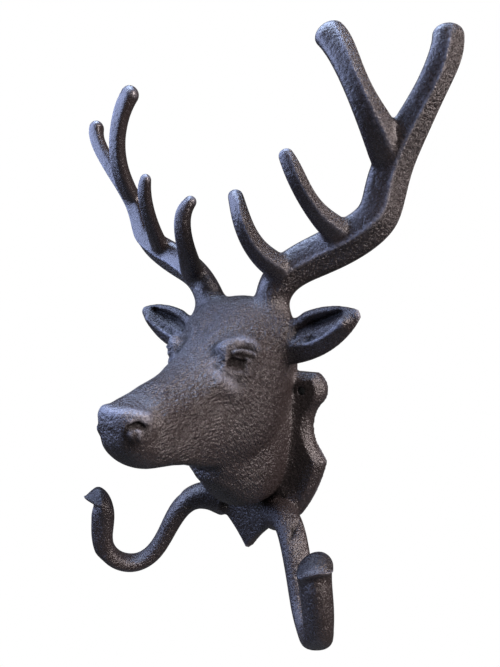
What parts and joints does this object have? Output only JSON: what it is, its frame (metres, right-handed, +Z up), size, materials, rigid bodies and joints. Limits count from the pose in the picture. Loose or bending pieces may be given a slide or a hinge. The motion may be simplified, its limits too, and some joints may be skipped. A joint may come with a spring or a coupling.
{
  "type": "wall coat rack",
  "caption": "Cast-iron wall coat rack: a stag's head with ears and branching antlers on a scalloped shield plate, with splayed strap hooks below for coats.",
  "frame": {"origin": "midpoint between the screw holes, on the plate's back face against the wall", "axes": "+Z up the wall, -Y out of the wall the way the stag looks, +X along the wall to the stag's left side"},
  "size_m": [0.2376, 0.1207, 0.2948],
  "materials": {
    "cast_iron": "sand-cast iron with a dark brown-black waxed surface, semi-gloss and slightly worn on the ridges"
  },
  "bodies": {
    "root": {"stag_head_casting": "cast_iron"}
  },
  "joints": []
}
